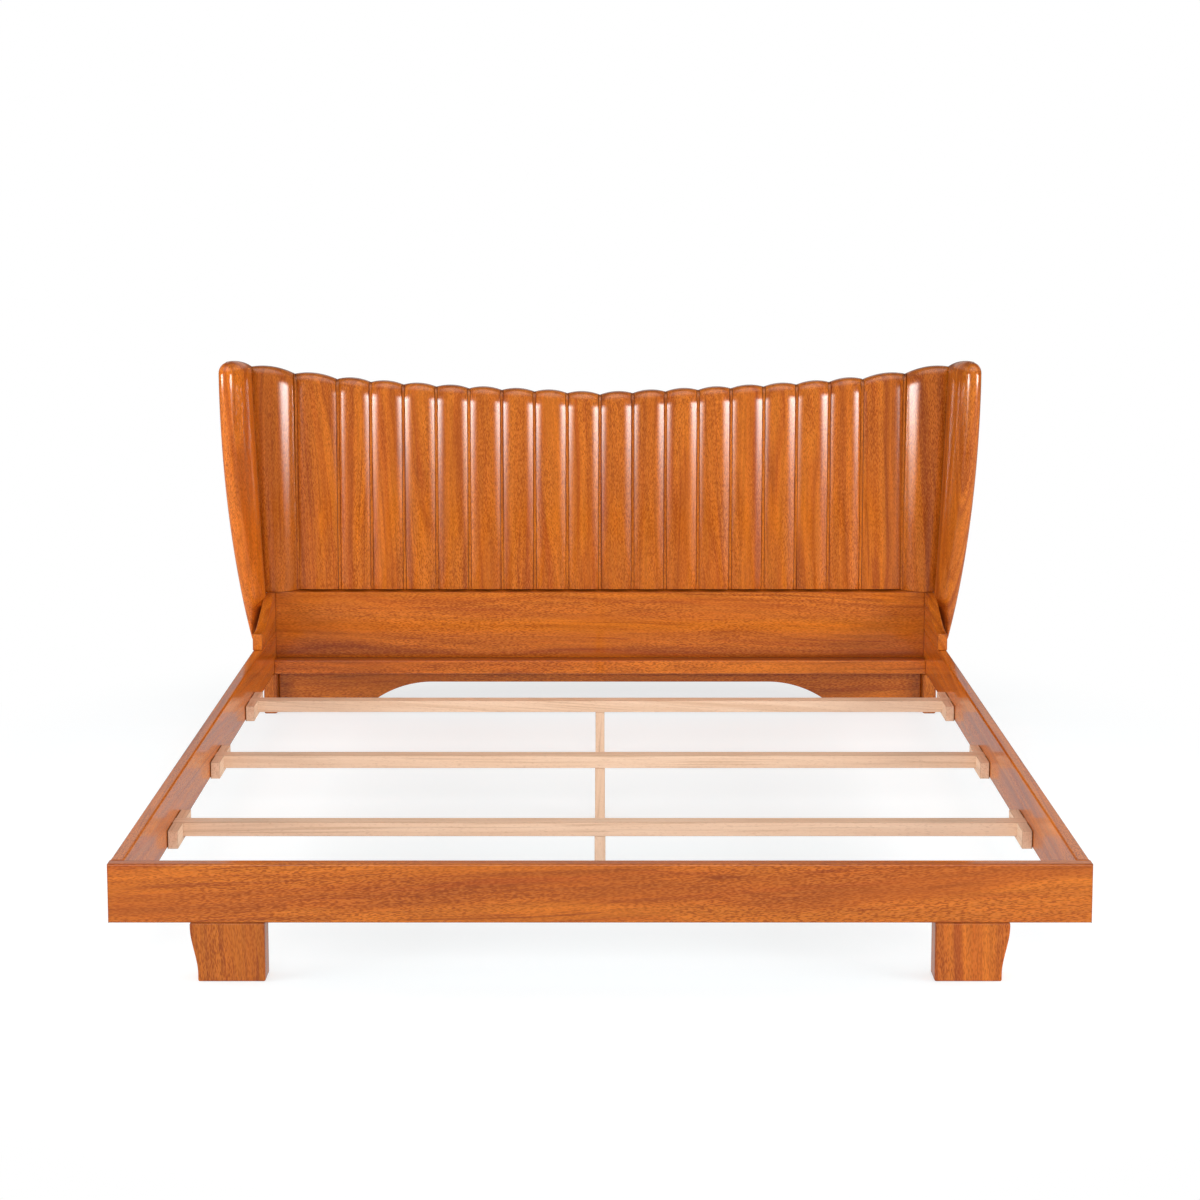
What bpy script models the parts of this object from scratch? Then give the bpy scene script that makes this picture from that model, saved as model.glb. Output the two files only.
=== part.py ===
"""A king-size bed frame in lacquered mahogany with a fluted wing headboard.

Metres, +Z up.  +X is to the right seen from the foot end, +Y runs from foot to head, and the
origin is on the floor below the middle of the whole frame.
"""
import math

import bmesh
import bpy
import numpy as np

# Fits
SEAT_GAP = 0.0003            # left between two pieces that touch
NOTCH_PLAY = 0.0005          # each side of a bearer in its notch
BOND_GAP = 0.0003            # glue line between two staves

# Mattress space
MATTRESS_WIDTH = 1.930
MATTRESS_LENGTH = 2.030
MATTRESS_SIDE_PLAY = 0.0125  # each side
MATTRESS_END_PLAY = 0.010    # each end

# Rails
RAIL_THICKNESS = 0.028
RAIL_HEIGHT = 0.1245
GROUND_CLEARANCE = 0.124     # floor to the underside of the rails
ARRIS = 0.0025               # softened edge of the boards
ARRIS_ANGLE = math.radians(40)   # edges sharper than this are softened
CREASE_ANGLE = math.radians(35)  # edges sharper than this stay crisp on curved pieces

# Front feet
FOOT_INSET = 0.1655          # end of the foot rail to the outer side of a front foot
FOOT_WIDTH_TOP = 0.154
FOOT_WAIST = 0.017           # how far the outer side draws in towards the floor
FOOT_DEPTH = 0.052
FOOT_SETBACK = 0.001         # behind the face of the foot rail

# Rear feet
REAR_FOOT_WIDTH = 0.040
REAR_FOOT_DEPTH = 0.094
REAR_FOOT_ARRIS = 0.006

# Cross bearers, their notched blocks and centre legs
BEARER_HEIGHT = 0.0325
BEARER_DEPTH = 0.034
BEARER_NAMES = ("front", "middle", "rear")
BEARER_FIRST = 0.518         # face of the foot rail to the face of the front bearer
BEARER_LAST = 0.4577         # face of the rear bearer to the face of the ledger
BLOCK_WEB = 0.009            # wood left below a bearer in its notch
BLOCK_LENGTH = 0.155
BLOCK_THICKNESS = 0.024
LEG_SIDE = 0.025
BEECH_ARRIS = 0.0015

# Head end below the flutes
LEDGER_DEPTH = 0.044
HEAD_PANEL_RISE = 0.116      # above the top of the rails
APRON_WEB = 0.05625          # wood left above the arch
ARCH_SHOULDER = 0.4705       # side rail to the level stretch of the arch
ARCH_RADIUS = 0.300
ARCH_STEPS = 8

# Cheek brackets on the side rails
BRACKET_LENGTH = 0.258       # from its front end to the face of the head panel
BRACKET_NOSE_HEIGHT = 0.035
BRACKET_NOSE_FLAT = 0.030
OGEE_STEPS = 10

# Fluted staves
REGULAR_STAVES = 8           # on each side of the centre line
WIDE_STAVE = 0.1253
CORNER_STAVE_LOW = 0.1015
CORNER_STAVE_HIGH = 0.1288
CORNER_TURN = math.radians(17.4)
STAVE_EDGE_THICKNESS = 0.024
FLUTE_DEPTH = 0.016
SCALLOP_RATIO = 0.085        # drop of a stave's top at its edges, as a share of its width
TOP_ROLL_HEIGHT = 0.030      # the top of a flute rolls back over this height
TOP_LAND = 0.006             # level top left behind the roll
STAVE_HEIGHT = 0.601         # head panel to the top line, on the centre line
TOP_RISE = 0.0483            # even rise of the top line out to the side rails
TOP_SWEEP = 0.0370           # extra rise of the top line close to the side rails
TOP_SWEEP_POWER = 5
FLUTE_STEPS = 8
ROLL_STEPS = 4

# Wings
WING_CLEARANCE = 0.003       # outer face of a side rail to the root of the wing
WING_TAIL_DROP = 0.1365      # top of the head panel to the narrow lower end
WING_CROWN = 0.0321          # height of the rounded top
WING_LOW_FLARE = 0.0405      # how far the tail stands out from the side rail
WING_HIGH_FLARE = 0.105      # how far the top stands out from the side rail
WING_LOW_REACH = 0.030       # how far the wing stands forward of its root
WING_HIGH_REACH = 0.132
WING_SWEEP_POWER = 2.2
WING_NOSE = 0.021            # radius of the rounded front edge
WING_TAIL_NOSE = 0.004       # the same at the lower end
WING_SWELL = 0.007           # crown of the inner face
WING_DROP = 0.028            # fall of the top from the front edge to the root
WING_STEPS = 7
INNER_RUNS = (0.3, 0.65)     # shares of the way along the inner face
OUTER_RUNS = (0.35, 0.7)     # shares of the way back along the outer face
NOSE_STEPS = 6
TAIL_STEPS = 4
TAIL_SHARE = 0.50            # the lower end's size after its last taper
DOME_STEPS = 4
DOME_END = math.radians(78)

# Back battens
BATTEN_THICKNESS = 0.022
BATTEN_HEIGHT = 0.090
UPPER_BATTEN_DROP = 0.0855   # top line on the centre line to the top of the upper batten
BATTEN_END_INSET = 0.006     # short of the edge of the outermost straight stave

# Dowels
DOWEL_RADIUS = 0.006
DOWEL_LENGTH = 0.050
DOWEL_COVER = 0.010          # wood left in front of a dowel in the foot rail
DOWEL_EDGE = 0.02725         # edge of a rail to the axis of a dowel
LEG_DOWEL_DEPTH = 0.018      # depth of a dowel in a leg
LEG_DOWEL_COVER = 0.0145     # wood left above a dowel in a bearer
DRILL_OVERCUT = 0.0006       # a hole starts this far outside the joint
ROUND_SIDES = 16

# Places that follow from the sizes above
HALF_INNER = MATTRESS_WIDTH / 2 + MATTRESS_SIDE_PLAY
HALF_OUTER = HALF_INNER + RAIL_THICKNESS
RAIL_TOP = GROUND_CLEARANCE + RAIL_HEIGHT
BLOCK_HEIGHT = BLOCK_WEB + BEARER_HEIGHT
BEARER_TOP = GROUND_CLEARANCE + BLOCK_HEIGHT
PANEL_JOINT = GROUND_CLEARANCE + BLOCK_HEIGHT / 2
ARCH_HEIGHT = PANEL_JOINT - APRON_WEB
INNER_LENGTH = MATTRESS_LENGTH + 2 * MATTRESS_END_PLAY
OVERALL_LENGTH = 3 * RAIL_THICKNESS + INNER_LENGTH + SEAT_GAP + BATTEN_THICKNESS
FOOT_FACE = -OVERALL_LENGTH / 2
FOOT_BACK = FOOT_FACE + RAIL_THICKNESS
PANEL_FACE = FOOT_BACK + INNER_LENGTH
PANEL_BACK = PANEL_FACE + RAIL_THICKNESS
STAVE_BACK = PANEL_BACK + RAIL_THICKNESS
LEDGER_FACE = PANEL_FACE - SEAT_GAP - LEDGER_DEPTH
BEARER_SPAN = LEDGER_FACE - FOOT_FACE - BEARER_FIRST - BEARER_LAST
BEARER_PITCH = BEARER_SPAN / (len(BEARER_NAMES) - 1)
HEAD_PANEL_TOP = RAIL_TOP + HEAD_PANEL_RISE
GROOVE_LINE = STAVE_BACK - STAVE_EDGE_THICKNESS
STAVE_FOOT = HEAD_PANEL_TOP + SEAT_GAP
STRAIGHT_HALF = HALF_OUTER + WING_CLEARANCE - CORNER_STAVE_LOW * math.cos(CORNER_TURN)
STAVE_PITCH = (STRAIGHT_HALF - WIDE_STAVE) / REGULAR_STAVES
TOP_CENTRE = HEAD_PANEL_TOP + STAVE_HEIGHT
WING_TAIL = HEAD_PANEL_TOP - WING_TAIL_DROP
WING_LOW_HALF = HALF_OUTER + WING_LOW_FLARE
WING_HIGH_HALF = HALF_OUTER + WING_HIGH_FLARE

MAHOGANY = ((0.44, 0.125, 0.028, 1.0), 0.28)
BEECH = ((0.78, 0.53, 0.36, 1.0), 0.50)


def clear_scene():
    """Start from an empty file."""
    for old in list(bpy.data.objects):
        bpy.data.objects.remove(old, do_unlink=True)


def timber(name, finish):
    """A plain lacquered-wood material."""
    colour, roughness = finish
    made = bpy.data.materials.new(name)
    made.use_nodes = True
    shader = made.node_tree.nodes["Principled BSDF"]
    shader.inputs["Base Color"].default_value = colour
    shader.inputs["Roughness"].default_value = roughness
    shader.inputs["Metallic"].default_value = 0.0
    return made


def solid(name, points, faces, finish, smooth=False):
    """One closed piece from its points and faces."""
    mesh = bpy.data.meshes.new(name)
    mesh.from_pydata([tuple(map(float, point)) for point in points], [], faces)
    sheet = bmesh.new()
    sheet.from_mesh(mesh)
    bmesh.ops.recalc_face_normals(sheet, faces=sheet.faces[:])
    sheet.to_mesh(mesh)
    sheet.free()
    if smooth:
        mesh.shade_smooth()
        mesh.set_sharp_from_angle(angle=CREASE_ANGLE)
    piece = bpy.data.objects.new(name, mesh)
    mesh.materials.append(timber(name, finish))
    bpy.context.collection.objects.link(piece)
    return piece


def soften(piece, width):
    """Take the sharp edges off a piece."""
    bevel = piece.modifiers.new("arris", "BEVEL")
    bevel.width = width
    bevel.segments = 1
    bevel.limit_method = "ANGLE"
    bevel.angle_limit = ARRIS_ANGLE
    return piece


def board(name, low, high, finish, arris):
    """A square-sawn board between two opposite corners."""
    corners = [(x, y, z) for x in (low[0], high[0]) for y in (low[1], high[1]) for z in (low[2], high[2])]
    faces = [(0, 1, 3, 2), (4, 6, 7, 5), (0, 4, 5, 1), (2, 3, 7, 6), (0, 2, 6, 4), (1, 5, 7, 3)]
    return soften(solid(name, corners, faces, finish), arris)


def shaped_board(name, outline, place, finish, arris):
    """A board sawn to an outline; place(u, v, side) puts an outline point on its side 0 or 1."""
    count = len(outline)
    points = [place(u, v, side) for side in (0, 1) for u, v in outline]
    faces = [tuple(range(count)), tuple(range(2 * count - 1, count - 1, -1))]
    for start in range(count):
        end = (start + 1) % count
        faces.append((start, end, count + end, count + start))
    return soften(solid(name, points, faces, finish), arris)


def lofted(name, rings, finish, row_cap):
    """A piece through closed rings of equal count.

    With row_cap the first half of each ring faces the second half run backwards, and the ends are
    closed by strips between the two; otherwise the ends are closed by one face.
    """
    rings = np.asarray(rings)
    levels, count = rings.shape[:2]
    faces = []
    for level in range(levels - 1):
        base = level * count
        for start in range(count):
            end = (start + 1) % count
            faces.append((base + start, base + end, base + count + end, base + count + start))
    for base in (0, (levels - 1) * count):
        if row_cap:
            for start in range(count // 2 - 1):
                faces.append((base + start, base + start + 1,
                              base + count - 2 - start, base + count - 1 - start))
        else:
            faces.append(tuple(range(base, base + count)))
    return solid(name, rings.reshape(-1, 3), faces, finish, smooth=True)


def rod(name, start, axis, length, radius, finish, cutter=False):
    """A round rod from start along axis 0, 1 or 2."""
    angles = np.arange(ROUND_SIDES) * 2 * math.pi / ROUND_SIDES
    ring = np.zeros((2, ROUND_SIDES, 3))
    ring[:, :, (axis + 1) % 3] = radius * np.cos(angles)
    ring[:, :, (axis + 2) % 3] = radius * np.sin(angles)
    ring[1, :, axis] = length
    piece = lofted(name, ring + np.asarray(start), finish, row_cap=False)
    if cutter:
        piece.hide_render = True
        piece.display_type = "WIRE"
    return piece


def bore(piece, start, axis, length):
    """Drill a dowel hole in a piece."""
    drill = rod(piece.name + "_drill", start, axis, length, DOWEL_RADIUS + SEAT_GAP, BEECH, cutter=True)
    cut = piece.modifiers.new("dowel_hole", "BOOLEAN")
    cut.operation = "DIFFERENCE"
    cut.solver = "EXACT"
    cut.object = drill


def dowel(name, first, second, start, axis, length, in_first):
    """A dowel that sits in_first deep in one piece and the rest of its length in another.

    start is the point on the joint, and the second piece lies on the positive side of it.
    """
    start = np.asarray(start, dtype=float)
    step = np.eye(3)[axis]
    low = start - step * in_first
    rod(name, low, axis, length, DOWEL_RADIUS, BEECH)
    bore(first, low - step * SEAT_GAP, axis, in_first + SEAT_GAP + DRILL_OVERCUT)
    bore(second, start - step * DRILL_OVERCUT, axis, length - in_first + SEAT_GAP + DRILL_OVERCUT)


def ease(share):
    """An S-curve from 0 to 1, level at both ends."""
    return share * share * (3 - 2 * share)


def ogee(steps):
    """Points of an S-curve from (0, 0) to (1, 1)."""
    run = np.linspace(0.0, 1.0, steps + 1)
    return np.column_stack([run, ease(run)])


def make_rails():
    """The foot rail across the full width and the two side rails behind it."""
    foot = board("foot_rail", (-HALF_OUTER, FOOT_FACE, GROUND_CLEARANCE),
                 (HALF_OUTER, FOOT_BACK, RAIL_TOP), MAHOGANY, ARRIS)
    rails = {}
    for side, sign in (("left", -1), ("right", 1)):
        across = sorted((sign * HALF_INNER, sign * HALF_OUTER))
        rails[side] = board("side_rail_" + side, (across[0], FOOT_BACK + SEAT_GAP, GROUND_CLEARANCE),
                            (across[1], STAVE_BACK, RAIL_TOP), MAHOGANY, ARRIS)
        for level, height in (("lower", GROUND_CLEARANCE + DOWEL_EDGE), ("upper", RAIL_TOP - DOWEL_EDGE)):
            dowel(f"foot_dowel_{side}_{level}", foot, rails[side],
                  (sum(across) / 2, FOOT_BACK, height), 1, DOWEL_LENGTH, RAIL_THICKNESS - DOWEL_COVER)
    return rails


def make_front_feet():
    """Two block feet whose outer sides draw in along an S-curve."""
    top = GROUND_CLEARANCE - SEAT_GAP
    front = FOOT_FACE + FOOT_SETBACK
    outer = HALF_OUTER - FOOT_INSET
    inner = outer - FOOT_WIDTH_TOP
    outline = [(inner, 0.0)]
    outline += [(outer - FOOT_WAIST * (1 - rise), top * run) for run, rise in ogee(OGEE_STEPS)]
    outline += [(inner, top)]
    for side, sign in (("left", -1), ("right", 1)):

        def place(u, v, back, sign=sign):
            return (sign * u, front + back * FOOT_DEPTH, v)

        shaped_board("front_foot_" + side, outline, place, MAHOGANY, ARRIS)


def make_rear_feet(rails):
    """Two narrow feet below the head ends of the side rails."""
    centre = (HALF_INNER + HALF_OUTER) / 2
    for side, sign in (("left", -1), ("right", 1)):
        across = sorted((sign * (centre - REAR_FOOT_WIDTH / 2), sign * (centre + REAR_FOOT_WIDTH / 2)))
        front = STAVE_BACK - REAR_FOOT_DEPTH
        foot = board("rear_foot_" + side, (across[0], front, 0.0),
                     (across[1], STAVE_BACK, GROUND_CLEARANCE - SEAT_GAP), MAHOGANY, REAR_FOOT_ARRIS)
        dowel("rear_foot_dowel_" + side, foot, rails[side],
              (sign * centre, (front + STAVE_BACK) / 2, GROUND_CLEARANCE - SEAT_GAP), 2,
              DOWEL_LENGTH, DOWEL_LENGTH / 2)


def make_bearers():
    """Drop-in cross bearers on notched blocks, each with a leg below its middle."""
    low = BEARER_TOP - BEARER_HEIGHT
    notch_half = BEARER_DEPTH / 2 + NOTCH_PLAY
    for index, name in enumerate(BEARER_NAMES):
        face = FOOT_FACE + BEARER_FIRST + index * BEARER_PITCH
        centre = face + BEARER_DEPTH / 2
        reach = HALF_INNER - NOTCH_PLAY
        bearer = board("cross_bearer_" + name, (-reach, face, low), (reach, face + BEARER_DEPTH, BEARER_TOP),
                       BEECH, BEECH_ARRIS)
        leg = board("centre_leg_" + name, (-LEG_SIDE / 2, face, 0.0),
                    (LEG_SIDE / 2, face + LEG_SIDE, low - SEAT_GAP), BEECH, BEECH_ARRIS)
        dowel("leg_dowel_" + name, leg, bearer, (0.0, face + LEG_SIDE / 2, low - SEAT_GAP), 2,
              LEG_DOWEL_DEPTH + BEARER_HEIGHT - LEG_DOWEL_COVER, LEG_DOWEL_DEPTH)
        seat = low - SEAT_GAP
        half = BLOCK_LENGTH / 2
        outline = [(-half, GROUND_CLEARANCE), (half, GROUND_CLEARANCE), (half, BEARER_TOP),
                   (notch_half, BEARER_TOP), (notch_half, seat), (-notch_half, seat),
                   (-notch_half, BEARER_TOP), (-half, BEARER_TOP)]
        for side, sign in (("left", -1), ("right", 1)):

            def place(u, v, back, sign=sign, centre=centre):
                across = HALF_INNER - SEAT_GAP - BLOCK_THICKNESS * (1 - back)
                return (sign * across, centre + u, v)

            shaped_board(f"bearer_block_{name}_{side}", outline, place, BEECH, BEECH_ARRIS)


def make_head_boards():
    """The head panel, the sill behind it, the arched apron below and the mattress ledger."""
    reach = HALF_INNER - SEAT_GAP
    low = PANEL_JOINT + SEAT_GAP
    board("head_panel", (-reach, PANEL_FACE, low), (reach, PANEL_BACK - SEAT_GAP, HEAD_PANEL_TOP),
          MAHOGANY, ARRIS)
    board("stave_sill", (-reach, PANEL_BACK, low), (reach, STAVE_BACK, HEAD_PANEL_TOP), MAHOGANY, ARRIS)
    board("head_ledger", (-reach, LEDGER_FACE, GROUND_CLEARANCE),
          (reach, PANEL_FACE - SEAT_GAP, BEARER_TOP), MAHOGANY, ARRIS)

    half = (HALF_INNER + HALF_OUTER - REAR_FOOT_WIDTH) / 2 - SEAT_GAP
    turn = math.acos(1 - ARCH_HEIGHT / ARCH_RADIUS)
    angles = np.linspace(turn, 0.0, ARCH_STEPS + 1)
    arch = [(HALF_INNER - ARCH_SHOULDER + ARCH_RADIUS * math.sin(angle),
             ARCH_HEIGHT - ARCH_RADIUS * (1 - math.cos(angle))) for angle in angles]
    outline = [(half, 0.0), (half, PANEL_JOINT), (-half, PANEL_JOINT), (-half, 0.0)]
    outline += [(-across, height) for across, height in arch]
    outline += arch[::-1]

    def place(u, v, back):
        return (u, PANEL_FACE + back * RAIL_THICKNESS, v)

    shaped_board("head_apron", outline, place, MAHOGANY, ARRIS)


def make_brackets():
    """Two cheek brackets that rise from the side rails to the top of the head panel."""
    base = RAIL_TOP + SEAT_GAP
    nose = base + BRACKET_NOSE_HEIGHT
    front = PANEL_FACE - BRACKET_LENGTH
    run = BRACKET_LENGTH - BRACKET_NOSE_FLAT
    outline = [(STAVE_BACK, base), (front, base), (front, nose)]
    outline += [(front + BRACKET_NOSE_FLAT + run * along, nose + (HEAD_PANEL_TOP - nose) * rise)
                for along, rise in ogee(OGEE_STEPS)]
    outline += [(STAVE_BACK, HEAD_PANEL_TOP)]
    for side, sign in (("left", -1), ("right", 1)):

        def place(u, v, outer, sign=sign):
            return (sign * (HALF_INNER + outer * RAIL_THICKNESS), u, v)

        shaped_board("cheek_bracket_" + side, outline, place, MAHOGANY, ARRIS)


def top_line(across):
    """Height of the headboard's top line at a distance from the centre line."""
    share = across / HALF_OUTER
    return TOP_CENTRE + TOP_RISE * share + TOP_SWEEP * share ** TOP_SWEEP_POWER


def groove_plan(index, high):
    """Front and back ends of the joint at a groove, in plan, on the right side.

    Grooves run from 0 at the centre line to the one beside the wing, low or high on the board.
    """
    if index <= REGULAR_STAVES:
        front = np.array([index * STAVE_PITCH, GROOVE_LINE])
        return front, front + np.array([0.0, STAVE_EDGE_THICKNESS])
    corner = np.array([STRAIGHT_HALF, GROOVE_LINE])
    if index == REGULAR_STAVES + 1:
        mitre = CORNER_TURN / 2
        depth = STAVE_EDGE_THICKNESS / math.cos(mitre)
    else:
        mitre = CORNER_TURN
        depth = STAVE_EDGE_THICKNESS
        width = CORNER_STAVE_HIGH if high else CORNER_STAVE_LOW
        corner = corner + width * np.array([math.cos(CORNER_TURN), -math.sin(CORNER_TURN)])
    return corner, corner + depth * np.array([math.sin(mitre), math.cos(mitre)])


def stave_top(index, spread):
    """Height of the top of a stave across its width, where spread runs from -1 to 1."""
    inner, outer = (groove_plan(groove, True)[0] for groove in (index, index + 1))
    share = (spread + 1) / 2
    ends = [top_line(groove[0]) for groove in (inner, outer)]
    drop = SCALLOP_RATIO * np.linalg.norm(outer - inner)
    return ends[0] + share * (ends[1] - ends[0]) - drop * spread * spread


def stave_rings(index):
    """Rings of one stave on the right side: a crowned front that rolls back at the top."""
    spread = np.linspace(-1.0, 1.0, FLUTE_STEPS + 1)
    share = (spread + 1) / 2
    crown = FLUTE_DEPTH * (1 - spread * spread)

    def plan(high):
        inner, inner_back = groove_plan(index, high)
        outer, outer_back = groove_plan(index + 1, high)
        along = (outer - inner) / np.linalg.norm(outer - inner)
        inner, inner_back = inner + along * BOND_GAP / 2, inner_back + along * BOND_GAP / 2
        outer, outer_back = outer - along * BOND_GAP / 2, outer_back - along * BOND_GAP / 2
        inward = np.array([along[1], -along[0]])
        front = inner + share[:, None] * (outer - inner) + crown[:, None] * inward
        back = inner_back + share[:, None] * (outer_back - inner_back)
        return front, back, -inward

    low_front, low_back, _ = plan(False)
    high_front, high_back, rearward = plan(True)
    top = stave_top(index, spread)

    def ring(front, back, front_height, back_height):
        fore = np.column_stack([front, front_height])
        aft = np.column_stack([back, back_height])
        return np.vstack([fore, aft[::-1]])

    level = np.full_like(top, STAVE_FOOT)
    rings = [ring(low_front, low_back, level, level)]
    for angle in np.linspace(0.0, math.pi / 2, ROLL_STEPS + 1):
        roll = (STAVE_EDGE_THICKNESS - TOP_LAND) * (1 - math.cos(angle))
        height = top - TOP_ROLL_HEIGHT * (1 - math.sin(angle))
        rings.append(ring(high_front + roll * rearward, high_back, height, height))
    return np.array(rings)


def wing_shoulder():
    """Height where the corner stave's outer edge starts to roll back, and the wing's top to round."""
    return stave_top(REGULAR_STAVES + 1, 1.0) - TOP_ROLL_HEIGHT


def wing_peak():
    """Height of the wing's highest point, at its front edge."""
    return wing_shoulder() + WING_DROP + WING_CROWN


def wing_section(height):
    """Plan section of the right wing at a height, from its root round the front edge and back.

    Also gives, for each point, the point of the wing's middle line that the rounded top shrinks to.
    """
    rise = np.clip((height - WING_TAIL) / (wing_peak() - WING_TAIL), 0.0, 1.0)
    sweep = 1 - (1 - rise) ** WING_SWEEP_POWER
    last = REGULAR_STAVES + 2
    blend = np.clip((height - STAVE_FOOT) / (wing_shoulder() - STAVE_FOOT), 0.0, 1.0)
    low_front, low_back = groove_plan(last, False)
    high_front, high_back = groove_plan(last, True)
    along = np.array([math.cos(CORNER_TURN), -math.sin(CORNER_TURN)])
    front = low_front + blend * (high_front - low_front) + along * BOND_GAP / 2
    back = low_back + blend * (high_back - low_back) + along * BOND_GAP / 2
    thin = np.clip((height - WING_TAIL) / (STAVE_FOOT - WING_TAIL), 0.0, 1.0)
    radius = WING_TAIL_NOSE + (WING_NOSE - WING_TAIL_NOSE) * ease(thin)
    half = WING_LOW_HALF + sweep * (WING_HIGH_HALF - WING_LOW_HALF)
    reach = WING_LOW_REACH + sweep * (WING_HIGH_REACH - WING_LOW_REACH)
    nose = np.array([half - radius, front[1] - reach])
    root = (front + back) / 2
    ahead = (nose - root) / np.linalg.norm(nose - root)
    inward = np.array([ahead[1], -ahead[0]])
    angles = np.linspace(0.0, math.pi, NOSE_STEPS + 1)
    bow = nose + radius * (np.cos(angles)[:, None] * inward + np.sin(angles)[:, None] * ahead)
    inner = [front + (bow[0] - front) * run + inward * WING_SWELL * 4 * run * (1 - run)
             for run in INNER_RUNS]
    outer = [bow[-1] + (back - bow[-1]) * run for run in OUTER_RUNS]
    spine = [root] + [root + (nose - root) * run for run in INNER_RUNS]
    spine += [nose] * (NOSE_STEPS + 1)
    spine += [nose + (root - nose) * run for run in OUTER_RUNS] + [root]
    return np.vstack([front, *inner, bow, *outer, back]), np.array(spine)


def wing_rings():
    """Rings of the right wing: a thinning tail, the swept body and a rounded top."""
    rings = []
    for run in np.linspace(0.0, 1.0, TAIL_STEPS + 1)[:-1]:
        height = WING_TAIL + run * (STAVE_FOOT - WING_TAIL)
        outline, _ = wing_section(height)
        size = TAIL_SHARE + (1 - TAIL_SHARE) * math.sqrt(run)
        corner = np.array([outline[:, 0].max(), outline[:, 1].mean()])
        outline = corner + (outline - corner) * size
        rings.append(np.column_stack([outline, np.full(len(outline), height)]))
    shoulder = wing_shoulder()
    for height in np.linspace(STAVE_FOOT, shoulder, WING_STEPS + 1)[:-1]:
        outline, _ = wing_section(height)
        rings.append(np.column_stack([outline, np.full(len(outline), height)]))
    outline, spine = wing_section(shoulder)
    span = np.linalg.norm(spine - spine[0], axis=1)
    lift = WING_DROP * span / span.max()
    for angle in np.linspace(0.0, DOME_END, DOME_STEPS + 1):
        share = math.cos(angle)
        height = shoulder + lift + WING_CROWN * math.sin(angle) / math.sin(DOME_END)
        rings.append(np.column_stack([spine + (outline - spine) * share, height]))
    return np.array(rings)


def make_headboard():
    """Staves from the centre line out to both sides, a wing at each end and two battens behind."""
    for side, sign in (("left", -1), ("right", 1)):
        flip = np.array([sign, 1, 1])
        for index in range(REGULAR_STAVES + 2):
            lofted(f"stave_{side}_{index + 1:02d}", stave_rings(index) * flip, MAHOGANY, row_cap=True)
        lofted("wing_" + side, wing_rings() * flip, MAHOGANY, row_cap=False)
    reach = STRAIGHT_HALF - BATTEN_END_INSET
    lower_base = HEAD_PANEL_TOP - BATTEN_HEIGHT / 2
    upper_base = TOP_CENTRE - UPPER_BATTEN_DROP - BATTEN_HEIGHT
    for name, base in (("lower", lower_base), ("upper", upper_base)):
        board("back_batten_" + name, (-reach, STAVE_BACK + SEAT_GAP, base),
              (reach, STAVE_BACK + SEAT_GAP + BATTEN_THICKNESS, base + BATTEN_HEIGHT), MAHOGANY, ARRIS)


def main():
    clear_scene()
    rails = make_rails()
    make_front_feet()
    make_rear_feet(rails)
    make_bearers()
    make_head_boards()
    make_brackets()
    make_headboard()


main()
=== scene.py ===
"""Looks of a king-size mahogany bed frame with a fluted wing headboard.

Metres, +Z up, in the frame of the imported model.  Every board, stave and wing is made here as a finely
shaped surface that stands for its solid, in a wood of its own.  Only the hidden dowels stay solids.
"""
import math

import bpy
import numpy as np
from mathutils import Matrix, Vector


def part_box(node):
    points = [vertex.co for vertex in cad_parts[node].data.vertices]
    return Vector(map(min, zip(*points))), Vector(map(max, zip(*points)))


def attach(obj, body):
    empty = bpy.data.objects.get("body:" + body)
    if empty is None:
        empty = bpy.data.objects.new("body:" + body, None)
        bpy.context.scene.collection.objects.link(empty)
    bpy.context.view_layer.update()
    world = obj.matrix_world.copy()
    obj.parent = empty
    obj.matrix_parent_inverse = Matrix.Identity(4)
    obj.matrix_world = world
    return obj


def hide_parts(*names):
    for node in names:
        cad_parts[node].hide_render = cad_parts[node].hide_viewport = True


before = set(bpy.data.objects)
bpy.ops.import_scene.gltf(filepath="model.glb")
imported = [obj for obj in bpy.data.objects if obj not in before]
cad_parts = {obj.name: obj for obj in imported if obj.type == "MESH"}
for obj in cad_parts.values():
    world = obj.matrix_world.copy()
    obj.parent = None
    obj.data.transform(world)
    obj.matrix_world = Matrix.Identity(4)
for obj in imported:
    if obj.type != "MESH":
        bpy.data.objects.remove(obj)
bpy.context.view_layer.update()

SIDES = (("left", -1), ("right", 1))
ROWS = ("front", "middle", "rear")

# Headboard, the same as in the solids
REGULAR_STAVES = 8
WIDE_INDEX = REGULAR_STAVES          # staves and joints count from 0 at the centre line to each side
CORNER_INDEX = REGULAR_STAVES + 1
STAVES_PER_SIDE = REGULAR_STAVES + 2
WIDE_STAVE = 0.1253
CORNER_STAVE_LOW = 0.1015
CORNER_STAVE_HIGH = 0.1288
CORNER_TURN = math.radians(17.4)
STAVE_EDGE_THICKNESS = 0.024
FLUTE_DEPTH = 0.016
SCALLOP_RATIO = 0.085
TOP_ROLL_HEIGHT = 0.030
TOP_LAND = 0.006
STAVE_HEIGHT = 0.601
TOP_RISE = 0.0483
TOP_SWEEP = 0.0370
TOP_SWEEP_POWER = 5
WING_CLEARANCE = 0.003
WING_TAIL_DROP = 0.1365
WING_CROWN = 0.0321
WING_LOW_FLARE = 0.0405
WING_HIGH_FLARE = 0.105
WING_LOW_REACH = 0.030
WING_HIGH_REACH = 0.132
WING_SWEEP_POWER = 2.2
WING_TAIL_NOSE = 0.004
WING_DROP = 0.028
TAIL_SHARE = 0.50

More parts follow.
